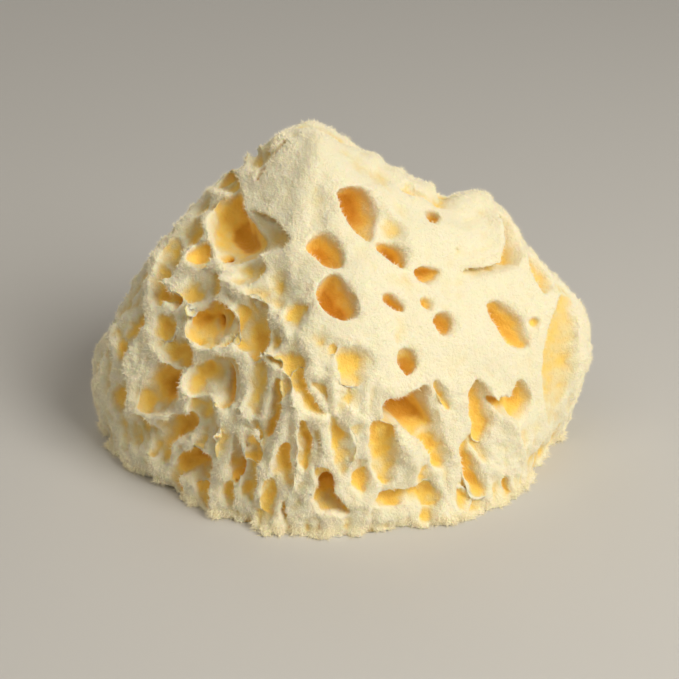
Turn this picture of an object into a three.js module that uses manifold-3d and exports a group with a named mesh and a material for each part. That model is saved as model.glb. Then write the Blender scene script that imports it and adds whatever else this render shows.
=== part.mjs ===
// A natural honeycomb sea sponge, dried and cut flat where it grew on the rock.
// It is one solid: a rounded, slightly pyramidal mound, pitted all over with pores.
// Millimetres, +Z up. It rests on its flat cut at z = 0, the viewer is towards -Y,
// and the origin is under the middle of its bounding box.
import * as THREE from "three";
import { mergeVertices } from "three/addons/utils/BufferGeometryUtils.js";
import Module from "manifold-3d";

const wasm = await Module();
wasm.setup();

// The heart is the point inside the mound that its directions are measured from.
const HEART = new THREE.Vector3(0, -2.9, 28);
// How squarely the sides of the mound meet: a higher power gives sharper edges.
const SQUARENESS = 10;
// Cuts in each edge of the icosahedron behind the mound, a wide pore and a small one,
// and the mouth size in millimetres that a wide pore starts at.
const MOUND_DETAIL = 7;
const WIDE_PORE_DETAIL = 2;
const SMALL_PORE_DETAIL = 1;
const WIDE_PORE = 10;
// Points of a shape closer than this are one point, and slopes and lines of sight are
// followed in steps of this size, both in millimetres.
const SAME_POINT = 1e-4;
const STEP = 0.5;

// The broad sides of the mound. Azimuth 0 faces the viewer and 90 is to the right,
// elevation is up from level, both in degrees, and reach is the distance in
// millimetres from the heart to the side.
const SIDES = [
  { name: "prow", azimuth: 4, elevation: -2, reach: 51 },
  { name: "right cheek", azimuth: 34, elevation: 14, reach: 47 },
  { name: "right brow", azimuth: 45, elevation: 48, reach: 47 },
  { name: "right foot", azimuth: 76, elevation: -20, reach: 70 },
  { name: "right side", azimuth: 92, elevation: 14, reach: 88 },
  { name: "right shoulder", azimuth: 108, elevation: 36, reach: 71 },
  { name: "right top", azimuth: 131, elevation: 49, reach: 57 },
  { name: "back right", azimuth: 140, elevation: 8, reach: 60 },
  { name: "back", azimuth: 175, elevation: 8, reach: 51 },
  { name: "back slope", azimuth: 180, elevation: 38, reach: 56 },
  { name: "back top", azimuth: 185, elevation: 64, reach: 72 },
  { name: "back left", azimuth: -145, elevation: 12, reach: 58 },
  { name: "left top", azimuth: -124, elevation: 46, reach: 68 },
  { name: "left back", azimuth: -112, elevation: 33, reach: 65 },
  { name: "left side", azimuth: -97, elevation: 10, reach: 76 },
  { name: "left foot", azimuth: -78, elevation: -20, reach: 77 },
  { name: "left brow", azimuth: -45, elevation: 46, reach: 48 },
  { name: "left cheek", azimuth: -38, elevation: 10, reach: 49 },
];

// Rounded swellings on those sides: height in millimetres, spread in degrees.
const SWELLINGS = [
  { name: "peak", azimuth: -160, elevation: 70, height: 7, spread: 11 },
  { name: "shoulder", azimuth: 108, elevation: 40, height: 5, spread: 9 },
  { name: "right corner", azimuth: 90, elevation: 18, height: 4, spread: 11 },
];

// The camera that took the reference picture. The picture is square, its side is
// given in pixels, and the pores on the sides that it shows are placed by pixel.
const PICTURE_SIDE = 679;
const LENS = 90;
const FILM = 36;
const CAMERA_LIFT = 29.5;
const CAMERA_DISTANCE = 480;
const CAMERA_AIM = new THREE.Vector3(0, -10.9, 38);
// How far before and beyond the camera's distance a line of sight may meet the mound.
const SIGHT_BEFORE = 120;
const SIGHT_BEYOND = 60;
// The least share of facing the camera that a mouth is laid out for.
const LEAST_FACING = 0.45;

// The pores that the picture shows. at is the pixel of the middle of the mouth,
// wide and high are millimetres as the camera sees them, turn is how far the mouth
// leans over anticlockwise in degrees, deep is millimetres below the surface, and
// lean is how far the pore runs to the right and up, as a share of its depth.
const SEEN_PORES = [
  { name: "brow hole", at: [329, 249], wide: 10.5, high: 8.5, turn: 0, deep: 12, lean: [-0.3, 0.1] },
  { name: "great oval", at: [338, 297], wide: 10.5, high: 13, turn: 25, deep: 15, lean: [-0.3, -0.1] },
  { name: "high cave", at: [362, 212], wide: 12, high: 9.5, turn: -35, deep: 15, lean: [-0.3, 0.2] },
  { name: "cheek slot", at: [394, 256], wide: 10, high: 6.5, turn: -25, deep: 11, lean: [-0.5, 0.1] },
  { name: "cheek eye", at: [428, 276], wide: 7, high: 4.5, turn: -5, deep: 9, lean: [-0.4, 0.2] },
  { name: "small eye", at: [395, 301], wide: 5.5, high: 5, turn: 0, deep: 8, lean: [-0.4, 0] },
  { name: "pearl hole", at: [443, 325], wide: 6.5, high: 7, turn: 0, deep: 8, lean: [-0.2, 0.1] },
  { name: "upright oval", at: [409, 360], wide: 5, high: 8.2, turn: 0, deep: 11, lean: [0, -0.3] },
  { name: "pin hole", at: [431, 218], wide: 3, high: 3.4, turn: 0, deep: 6, lean: [0, 0] },
  { name: "far triangle", at: [508, 323], wide: 10, high: 13, turn: 30, deep: 13, lean: [-0.4, 0] },
  { name: "flank dimple", at: [539, 276], wide: 7.5, high: 11, turn: 35, deep: 6, lean: [-0.3, 0] },
  { name: "flank furrow", at: [563, 362], wide: 8, high: 35, turn: -12, deep: 4, lean: [0, 0] },
  { name: "under shelf", at: [484, 262], wide: 13, high: 3.5, turn: 8, deep: 9, lean: [-0.1, 0.5] },
  { name: "shelf side", at: [503, 242], wide: 4, high: 11, turn: 20, deep: 7, lean: [-0.4, 0] },
  { name: "dark arch", at: [405, 408], wide: 12.5, high: 10, turn: 0, deep: 14, lean: [-0.3, 0.4] },
  { name: "arch valley", at: [432, 440], wide: 8, high: 18, turn: -10, deep: 5, lean: [0, 0] },
  { name: "side valley", at: [386, 452], wide: 6, high: 16, turn: 5, deep: 4, lean: [0, 0] },
  { name: "twin arch left", at: [484, 410], wide: 7.5, high: 13, turn: 10, deep: 10, lean: [-0.4, 0.2] },
  { name: "twin arch right", at: [515, 402], wide: 8, high: 11, turn: -20, deep: 9, lean: [-0.4, 0.2] },
  { name: "low slot", at: [473, 465], wide: 4, high: 11, turn: 5, deep: 5, lean: [-0.2, 0] },
  { name: "furry dimple", at: [352, 362], wide: 12, high: 11, turn: 0, deep: 6, lean: [-0.2, 0] },
  { name: "hem arch", at: [334, 500], wide: 10, high: 7.5, turn: -5, deep: 9, lean: [0, 0.4] },
  { name: "hem hollow", at: [412, 503], wide: 13, high: 5, turn: 6, deep: 7, lean: [0, 0.3] },
  { name: "great cavity", at: [244, 228], wide: 13, high: 13.5, turn: 40, deep: 14, lean: [0.2, 0.3] },
  { name: "cavity side", at: [205, 257], wide: 6, high: 7, turn: 20, deep: 9, lean: [0.2, 0.2] },
  { name: "long dimple", at: [156, 277], wide: 5.5, high: 13, turn: -15, deep: 6, lean: [0.2, 0] },
  { name: "edge groove", at: [127, 316], wide: 4.5, high: 12, turn: -20, deep: 5, lean: [0.3, 0] },
  { name: "pit", at: [213, 325], wide: 11.5, high: 10.5, turn: 15, deep: 13, lean: [0.2, 0.3] },
  { name: "pit neighbour", at: [251, 340], wide: 8.5, high: 10, turn: 30, deep: 10, lean: [0.2, 0.2] },
  { name: "valley", at: [277, 325], wide: 6, high: 13, turn: 15, deep: 4, lean: [0, 0] },
  { name: "bowl", at: [205, 374], wide: 13, high: 11.5, turn: 0, deep: 8, lean: [0.1, 0.2] },
  { name: "bowl slot", at: [221, 391], wide: 4, high: 9, turn: 0, deep: 12, lean: [0.2, 0.2] },
  { name: "left cup", at: [159, 389], wide: 9, high: 11.5, turn: 10, deep: 7, lean: [0.2, 0.1] },
  { name: "lower cup", at: [178, 430], wide: 8, high: 8, turn: 0, deep: 7, lean: [0.2, 0.2] },
  { name: "lowest cup", at: [196, 461], wide: 9, high: 6, turn: -15, deep: 6, lean: [0.1, 0.2] },
  { name: "edge cup", at: [121, 397], wide: 4, high: 5, turn: 0, deep: 5, lean: [0.2, 0] },
  { name: "curled slit", at: [236, 455], wide: 4, high: 11.5, turn: 5, deep: 9, lean: [0.1, 0] },
  { name: "crease", at: [304, 396], wide: 4, high: 11, turn: 25, deep: 6, lean: [0, 0] },
  { name: "hollow by crease", at: [288, 436], wide: 5, high: 12, turn: -10, deep: 5, lean: [0, 0] },
  { name: "low hollow", at: [262, 488], wide: 6, high: 8, turn: 15, deep: 5, lean: [0, 0.2] },
  { name: "lip hollow", at: [341, 440], wide: 5, high: 12, turn: 10, deep: 5, lean: [0, 0] },
];

// The hidden sides are pitted by rule. Level rings of pores go up them, from one
// elevation to another, at one spacing and from one azimuth on, all in degrees.
const HIDDEN_RINGS = [-18, 80];
const HIDDEN_SPACING = 23;
const HIDDEN_FROM = 96;
// How far a hidden pore strays along its ring, as a share of the spacing, and up or
// down from it, in degrees.
const HIDDEN_STRAY = 0.6;
const HIDDEN_DRIFT = 8;
// The limits of a hidden pore's mouth and depth, and the least height of its middle,
// in millimetres.
const HIDDEN_WIDTH = [8, 13.5];
const HIDDEN_DEPTH = [7, 14];
const HIDDEN_LOWEST = 11;
const FIRST_SEED = 20;

// The side in millimetres of the block that is taken away under the cut.
const BLOCK = 400;

const COLOUR = 0xf0dfab;
const ROUGHNESS = 0.9;

// A repeatable run of random numbers between 0 and 1.
function randomRun(seed) {
  let state = seed;
  return () => {
    state = (state * 16807) % 2147483647;
    return state / 2147483647;
  };
}

function direction(azimuth, elevation) {
  const a = THREE.MathUtils.degToRad(azimuth);
  const e = THREE.MathUtils.degToRad(elevation);
  return new THREE.Vector3(Math.sin(a) * Math.cos(e), -Math.cos(a) * Math.cos(e), Math.sin(e));
}

// How far the mound's surface is from the heart in one direction.
function moundRadius(towards) {
  let sum = 0;
  for (const side of SIDES) {
    const facing = towards.dot(direction(side.azimuth, side.elevation));
    sum += Math.max(0, facing / side.reach) ** SQUARENESS;
  }
  let radius = sum ** (-1 / SQUARENESS);
  for (const swelling of SWELLINGS) {
    const angle = towards.angleTo(direction(swelling.azimuth, swelling.elevation));
    const share = THREE.MathUtils.radToDeg(angle) / swelling.spread;
    radius += swelling.height * Math.exp(-(share ** 2));
  }
  return radius;
}

// How deep a point lies below the mound's surface, negative above it.
function depthOf(point) {
  const arm = point.clone().sub(HEART);
  return moundRadius(arm.clone().normalize()) - arm.length();
}

function surfaceNormal(point) {
  const slope = (x, y, z) =>
    depthOf(point.clone().add(new THREE.Vector3(-x, -y, -z))) -
    depthOf(point.clone().add(new THREE.Vector3(x, y, z)));
  return new THREE.Vector3(slope(STEP, 0, 0), slope(0, STEP, 0), slope(0, 0, STEP)).normalize();
}

// The camera's own axes and its eye point.
const lift = THREE.MathUtils.degToRad(CAMERA_LIFT);
const forward = new THREE.Vector3(0, Math.cos(lift), -Math.sin(lift));
const upward = new THREE.Vector3(0, Math.sin(lift), Math.cos(lift));
const rightward = new THREE.Vector3(1, 0, 0);
const eye = CAMERA_AIM.clone().addScaledVector(forward, -CAMERA_DISTANCE);

function rayThrough([column, row]) {
  const focal = (PICTURE_SIDE * LENS) / FILM;
  return forward
    .clone()
    .multiplyScalar(focal)
    .addScaledVector(rightward, column - PICTURE_SIDE / 2)
    .addScaledVector(upward, PICTURE_SIDE / 2 - row)
    .normalize();
}

// The point of the mound that the camera sees at a pixel.
function pointSeenAt(pixel) {
  const ray = rayThrough(pixel);
  const near = CAMERA_DISTANCE - SIGHT_BEFORE;
  const far = CAMERA_DISTANCE + SIGHT_BEYOND;
  for (let reach = near; reach < far; reach += STEP) {
    const point = eye.clone().addScaledVector(ray, reach);
    if (depthOf(point) > 0) {
      return point;
    }
  }
  throw new Error("no part of the mound is seen at " + pixel);
}

// An ellipsoid with its middle at a point, and its three half axes as vectors.
function ellipsoid(middle, across, along, inward) {
  const mouth = across.length() + along.length();
  const detail = mouth > WIDE_PORE ? WIDE_PORE_DETAIL : SMALL_PORE_DETAIL;
  const sphere = new THREE.IcosahedronGeometry(1, detail);
  const place = new THREE.Matrix4().makeBasis(across, along, inward).setPosition(middle);
  if (place.determinant() < 0) {
    place.makeBasis(across.clone().negate(), along, inward).setPosition(middle);
  }
  return solidFrom(sphere.applyMatrix4(place));
}

// A mouth axis that the camera sees as the given vector, laid on the surface along
// the line of sight. Where the surface is seen nearly edge-on, its length is held back.
function laidOnSurface(seen, normal, ray) {
  const facing = Math.min(-LEAST_FACING, ray.dot(normal));
  return seen.clone().addScaledVector(ray, -seen.dot(normal) / facing);
}

function seenPore({ at, wide, high, turn, deep, lean }) {
  const middle = pointSeenAt(at);
  const normal = surfaceNormal(middle);
  const ray = rayThrough(at);
  const angle = THREE.MathUtils.degToRad(turn);
  const across = rightward
    .clone()
    .multiplyScalar(Math.cos(angle))
    .addScaledVector(upward, Math.sin(angle));
  const along = rightward
    .clone()
    .multiplyScalar(-Math.sin(angle))
    .addScaledVector(upward, Math.cos(angle));
  const inward = normal
    .clone()
    .negate()
    .addScaledVector(rightward, lean[0])
    .addScaledVector(upward, lean[1])
    .normalize();
  return ellipsoid(
    middle,
    laidOnSurface(across.multiplyScalar(wide / 2), normal, ray),
    laidOnSurface(along.multiplyScalar(high / 2), normal, ray),
    inward.multiplyScalar(deep),
  );
}

// Pores in level rings up the hidden sides, from the lowest ring to the top.
function hiddenPores() {
  const random = randomRun(FIRST_SEED);
  const between = ([low, high]) => low + (high - low) * random();
  const pores = [];
  const [lowest, highest] = HIDDEN_RINGS;
  const stretch = 360 - 2 * HIDDEN_FROM;
  for (let elevation = lowest; elevation < highest; elevation += HIDDEN_SPACING) {
    const shortening = Math.cos(THREE.MathUtils.degToRad(elevation));
    const count = Math.max(1, Math.round((stretch / HIDDEN_SPACING) * shortening));
    for (let i = 0; i < count; i++) {
      const place = i + 0.5 + HIDDEN_STRAY * (random() - 0.5);
      const azimuth = HIDDEN_FROM + (stretch * place) / count;
      const towards = direction(azimuth, elevation + HIDDEN_DRIFT * (random() - 0.5));
      const middle = HEART.clone().addScaledVector(towards, moundRadius(towards));
      const wide = between(HIDDEN_WIDTH);
      const high = between(HIDDEN_WIDTH);
      const deep = between(HIDDEN_DEPTH);
      if (middle.z < HIDDEN_LOWEST) {
        continue;
      }
      const normal = surfaceNormal(middle);
      const across = new THREE.Vector3(0, 0, 1).cross(normal).normalize();
      const along = normal.clone().cross(across);
      pores.push(
        ellipsoid(
          middle,
          across.multiplyScalar(wide / 2),
          along.multiplyScalar(high / 2),
          normal.clone().multiplyScalar(-deep),
        ),
      );
    }
  }
  return pores;
}

// A closed solid from a three.js geometry, and the geometry of a solid.
function solidFrom(geometry) {
  geometry.deleteAttribute("normal");
  geometry.deleteAttribute("uv");
  const merged = mergeVertices(geometry, SAME_POINT);
  return new wasm.Manifold(
    new wasm.Mesh({
      numProp: 3,
      vertProperties: merged.attributes.position.array,
      triVerts: new Uint32Array(merged.index.array),
    }),
  );
}

function geometryOf(solid) {
  const mesh = solid.getMesh();
  const geometry = new THREE.BufferGeometry();
  geometry.setAttribute("position", new THREE.BufferAttribute(mesh.vertProperties, 3));
  geometry.setIndex(new THREE.BufferAttribute(mesh.triVerts, 1));
  geometry.computeVertexNormals();
  return geometry;
}

// The whole mound, before it is cut: a sphere's points moved out to its surface.
function uncutMound() {
  const sphere = new THREE.IcosahedronGeometry(1, MOUND_DETAIL);
  const points = sphere.attributes.position;
  const towards = new THREE.Vector3();
  for (let i = 0; i < points.count; i++) {
    towards.fromBufferAttribute(points, i).normalize();
    const point = HEART.clone().addScaledVector(towards, moundRadius(towards));
    points.setXYZ(i, point.x, point.y, point.z);
  }
  return solidFrom(sphere);
}

// Everything under the level of the cut, as one block to take away.
function underTheCut() {
  const block = new THREE.BoxGeometry(BLOCK, BLOCK, BLOCK);
  block.translate(0, 0, -BLOCK / 2);
  return solidFrom(block);
}

function sponge() {
  let body = uncutMound();
  for (const pore of [...SEEN_PORES.map(seenPore), ...hiddenPores()]) {
    body = body.subtract(pore);
  }
  body = body.subtract(underTheCut());
  const look = new THREE.MeshStandardMaterial({
    color: COLOUR,
    roughness: ROUGHNESS,
    metalness: 0,
  });
  const mesh = new THREE.Mesh(geometryOf(body), look);
  mesh.name = "sponge";
  return mesh;
}

const object = new THREE.Group();
object.add(sponge());

export default object;
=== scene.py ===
"""A natural honeycomb sea sponge at its real size, on a plain studio floor, in metres."""
import itertools
import math
from collections import namedtuple

import bmesh
import bpy
import numpy as np
from bpy.props import FloatProperty, FloatVectorProperty, IntProperty, PointerProperty
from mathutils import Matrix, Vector


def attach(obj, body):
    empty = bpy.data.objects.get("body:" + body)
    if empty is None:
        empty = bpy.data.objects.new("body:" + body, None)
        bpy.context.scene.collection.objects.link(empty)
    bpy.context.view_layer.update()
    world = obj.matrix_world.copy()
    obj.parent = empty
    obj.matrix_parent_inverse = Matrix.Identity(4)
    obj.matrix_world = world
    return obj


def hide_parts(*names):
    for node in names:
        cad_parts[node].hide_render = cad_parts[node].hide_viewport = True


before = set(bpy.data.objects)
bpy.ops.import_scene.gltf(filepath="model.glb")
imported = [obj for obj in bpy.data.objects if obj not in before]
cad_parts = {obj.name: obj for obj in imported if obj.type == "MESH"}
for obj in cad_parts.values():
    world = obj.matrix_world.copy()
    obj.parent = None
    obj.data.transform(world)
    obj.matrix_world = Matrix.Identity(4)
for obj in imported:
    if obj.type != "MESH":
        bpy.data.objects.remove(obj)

bl_info = {
    "name": "Sea Sponge",
    "version": (1, 0, 0),
    "blender": (4, 5, 0),
    "location": "View3D > Sidebar > Sponge",
    "description": "Builds a natural honeycomb sea sponge with its fibres and a plain stage",
    "category": "Add Mesh",
}

MM = 0.001
BODY = "root"
NODE = "sponge"

# The mound. Azimuth 0 faces the viewer and 90 is to the right, elevation is up from
# level, in degrees. Reach is the distance from the heart to a side of the mound.
HEART = np.array((0.0, -2.9, 28.0)) * MM
SQUARENESS = 10
Side = namedtuple("Side", "name azimuth elevation reach")
SIDES = (
    Side("prow", 4, -2, 51 * MM),
    Side("right cheek", 34, 14, 47 * MM),
    Side("right brow", 45, 48, 47 * MM),
    Side("right foot", 76, -20, 70 * MM),
    Side("right side", 92, 14, 88 * MM),
    Side("right shoulder", 108, 36, 71 * MM),
    Side("right top", 131, 49, 57 * MM),
    Side("back right", 140, 8, 60 * MM),
    Side("back", 175, 8, 51 * MM),
    Side("back slope", 180, 38, 56 * MM),
    Side("back top", 185, 64, 72 * MM),
    Side("back left", -145, 12, 58 * MM),
    Side("left top", -124, 46, 68 * MM),
    Side("left back", -112, 33, 65 * MM),
    Side("left side", -97, 10, 76 * MM),
    Side("left foot", -78, -20, 77 * MM),
    Side("left brow", -45, 46, 48 * MM),
    Side("left cheek", -38, 10, 49 * MM),
)
Swelling = namedtuple("Swelling", "name azimuth elevation height spread")
SWELLINGS = (
    Swelling("peak", -160, 70, 7 * MM, 11),
    Swelling("shoulder", 108, 40, 5 * MM, 9),
    Swelling("right corner", 90, 18, 4 * MM, 11),
)

# The camera of the reference picture, whose side is given in pixels.
PICTURE_SIDE = 679
LENS = 90
FILM = 36
CAMERA_LIFT = math.radians(29.5)
CAMERA_DISTANCE = 0.480
CAMERA_AIM = np.array((0.0, -10.9, 38.0)) * MM
FORWARD = np.array((0, math.cos(CAMERA_LIFT), -math.sin(CAMERA_LIFT)))
UPWARD = np.array((0, math.sin(CAMERA_LIFT), math.cos(CAMERA_LIFT)))
RIGHTWARD = np.array((1.0, 0, 0))
EYE = CAMERA_AIM - FORWARD * CAMERA_DISTANCE
FOCAL = PICTURE_SIDE * LENS / FILM
PIXELS_PER_METRE = FOCAL / CAMERA_DISTANCE

# The holes and cups that the picture shows. line is a smooth outline through a few pixels
# of the mouth. deep is in millimetres. flare is the share of the shape that stands over
# the surface, so that 0 has upright walls and 0.5 is an open cup. lean is how far the hole
# runs to the right and up as a share of its depth, and fade is how many pixels a shallow
# dish runs on past its right lip.
Hole = namedtuple("Hole", "name line deep flare lean fade")
RIGHT_HOLES = (
    Hole("brow hole", ((309, 247), (317, 234), (332, 233), (345, 245), (345, 261), (325, 261)),
         9, 0.1, (-0.35, 0.1), 6),
    Hole("great oval", ((318, 290), (334, 271), (348, 283), (360, 308), (345, 319), (326, 308)),
         12, 0, (-0.25, 0), 6),
    Hole("high cave", ((343, 197), (355, 188), (372, 193), (384, 216), (374, 241), (356, 225)),
         13, 0, (-0.25, 0.3), 12),
    Hole("cave apron", ((374, 214), (390, 214), (406, 230), (398, 246), (380, 240)),
         2.5, 0.5, (-0.1, 0), 0),
    Hole("cheek slot", ((378, 246), (388, 241), (402, 250), (406, 266), (392, 261)), 11, 0, (0.25, 0.2), 6),
    Hole("cheek eye", ((416, 270), (432, 269), (441, 274), (435, 284), (423, 282)), 8, 0, (-0.1, 0.4), 3),
    Hole("small eye", ((384, 298), (391, 293), (401, 300), (405, 310), (393, 308)), 9, 0, (0.25, 0.1), 3),
    Hole("faint hole", ((421, 304), (426, 296), (433, 301), (430, 312)), 4.5, 0.2, (-0.1, 0), 2),
    Hole("pearl hole", ((432, 324), (438, 315), (450, 316), (455, 327), (443, 336)), 7, 0.1, (-0.2, 0), 3),
    Hole("pin hole", ((424, 217), (431, 209), (439, 218), (432, 228)), 7, 0, (0.3, -0.1), 0),
    Hole("shelf pin", ((449, 253), (452, 250), (456, 253), (453, 257)), 4, 0, (0, 0), 0),
    Hole("far triangle", ((490, 302), (504, 301), (524, 320), (533, 347), (507, 343), (493, 322)),
         6.5, 0.05, (-0.1, 0), 6),
    Hole("far pin", ((530, 322), (536, 317), (542, 323), (537, 331)), 2.2, 0.2, (0, 0), 0),
    Hole("beside the shelf", ((492, 218), (504, 222), (516, 244), (514, 263), (499, 262), (498, 240)),
         4.5, 0.2, (-0.6, 0), 0),
    Hole("flank dimple", ((526, 260), (536, 258), (558, 278), (554, 293), (540, 286)),
         4, 0.4, (-0.6, 0), 5),
    Hole("upright oval", ((400, 356), (405, 346), (413, 349), (416, 362), (409, 374), (402, 368)),
         8, 0, (0, -0.6), 2),
    Hole("dimple hole", ((327, 351), (330, 347), (333, 352), (329, 356)), 4, 0, (0, 0), 0),
    Hole("furry dimple", ((337, 362), (346, 349), (366, 350), (374, 364), (364, 380), (344, 380)),
         4, 0.4, (-0.4, 0), 5),
    Hole("dark arch", ((385, 408), (402, 400), (424, 388), (432, 404), (440, 430), (424, 440), (404, 428),
                       (388, 424)), 11, 0, (-0.3, 0.4), 3),
    Hole("side valley", ((371, 424), (388, 428), (398, 442), (398, 464), (390, 484), (374, 474)),
         3.6, 0.4, (-0.4, 0.2), 0),
    Hole("hem arch", ((315, 506), (322, 488), (329, 484), (341, 496), (351, 514), (332, 513)),
         9, 0, (0, 0.6), 0),
    Hole("hem hollow", ((374, 508), (382, 497), (404, 490), (430, 492), (448, 504), (410, 506)),
         2.6, 0.3, (0, 0.8), 0),
    Hole("hem groove", ((352, 486), (358, 470), (368, 468), (374, 484), (364, 498)), 4, 0.3, (-0.3, 0), 0),
)
LEFT_HOLES = (
    Hole("great cavity", ((212, 210), (224, 196), (238, 190), (243, 208), (258, 226), (269, 244),
                          (252, 258), (230, 264), (211, 250)), 12, 0, (-0.35, 0.3), 0),
    Hole("cavity throat", ((218, 212), (234, 204), (250, 224), (256, 246), (234, 256), (216, 238)),
         15, 0.3, (-0.25, 0.25), 0),
    Hole("cavity lobe", ((252, 216), (268, 222), (290, 238), (280, 249), (266, 252), (256, 236)),
         6, 0.1, (-0.2, 0.4), 0),
    Hole("cavity side", ((186, 262), (193, 248), (207, 245), (213, 262), (203, 269)),
         6, 0.1, (-0.3, 0.3), 0),
    Hole("cavity spot", ((208, 257), (212, 254), (216, 261), (211, 267)), 12, 0, (0.3, 0.2), 0),
    Hole("long dimple", ((145, 290), (151, 264), (162, 258), (166, 276), (160, 302), (149, 304)),
         4.5, 0.3, (0.3, 0), 0),
    Hole("pit", ((188, 326), (200, 309), (220, 305), (233, 318), (230, 339), (209, 346), (192, 338)),
         10, 0.05, (-0.45, 0.4), 0),
    Hole("pit neighbour", ((236, 330), (240, 309), (254, 303), (267, 316), (266, 340), (257, 356),
                           (245, 350)), 6, 0.3, (0, -0.4), 0),
    Hole("lip cup", ((230, 266), (240, 257), (256, 256), (264, 268), (250, 281), (236, 278)),
         3, 0.5, (0, 0.2), 0),
    Hole("small cup", ((160, 356), (168, 342), (184, 338), (193, 350), (189, 368), (176, 372)),
         4.5, 0.4, (0.1, 0.2), 0),
    Hole("bowl", ((190, 380), (194, 364), (214, 354), (234, 360), (240, 380), (234, 404), (214, 396),
                  (196, 394)), 6, 0.3, (-0.3, 0.2), 0),
    Hole("right of the bowl", ((243, 376), (252, 362), (264, 376), (266, 398), (258, 420), (245, 412)),
         3.5, 0.5, (0, 0.1), 0),
    Hole("left cup", ((143, 392), (148, 373), (163, 366), (178, 376), (180, 396), (168, 412), (150, 410)),
         6, 0.3, (0.2, 0.2), 0),
    Hole("lower cup", ((158, 446), (166, 422), (186, 413), (192, 428), (180, 440), (168, 462)),
         5, 0.2, (0.2, 0.3), 0),
    Hole("lowest cup", ((176, 472), (182, 455), (196, 450), (210, 457), (206, 476), (190, 482)),
         6, 0.2, (0.1, 0.5), 0),
    Hole("edge cup", ((104, 400), (109, 386), (122, 382), (130, 394), (124, 411), (110, 412)),
         3.5, 0.5, (0.2, 0), 0),
    Hole("upper cup", ((173, 238), (181, 218), (196, 212), (203, 226), (196, 242), (182, 246)),
         3.5, 0.5, (0.2, 0.2), 0),
    Hole("upper side cup", ((160, 252), (170, 234), (180, 244), (178, 262), (168, 276), (160, 268)),
         3.5, 0.5, (0.2, 0), 0),
    Hole("ridge cup", ((182, 296), (190, 278), (206, 272), (222, 280), (218, 298), (200, 305)),
         2, 0.5, (0.1, 0.2), 0),
    Hole("left recess", ((146, 330), (152, 312), (166, 314), (174, 326), (162, 338)), 4, 0.4, (0.2, 0), 0),
    Hole("edge groove", ((116, 336), (120, 318), (132, 304), (141, 314), (134, 334), (124, 346)),
         4, 0.4, (0.3, 0), 0),
    Hole("under the bowl", ((192, 412), (200, 400), (214, 402), (220, 418), (214, 440), (200, 440)),
         2.5, 0.5, (0.1, 0.2), 0),
    Hole("belly cup a", ((118, 432), (124, 419), (142, 416), (152, 430), (146, 448), (128, 450)),
         2.5, 0.5, (0.2, 0.1), 0),
    Hole("shoulder cup", ((214, 186), (222, 173), (233, 172), (238, 184), (228, 192)),
         3, 0.4, (0.2, 0.2), 0),
    Hole("crown cup", ((244, 160), (252, 149), (262, 152), (259, 166), (248, 171)), 3, 0.4, (0.2, 0.2), 0),
)

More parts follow.
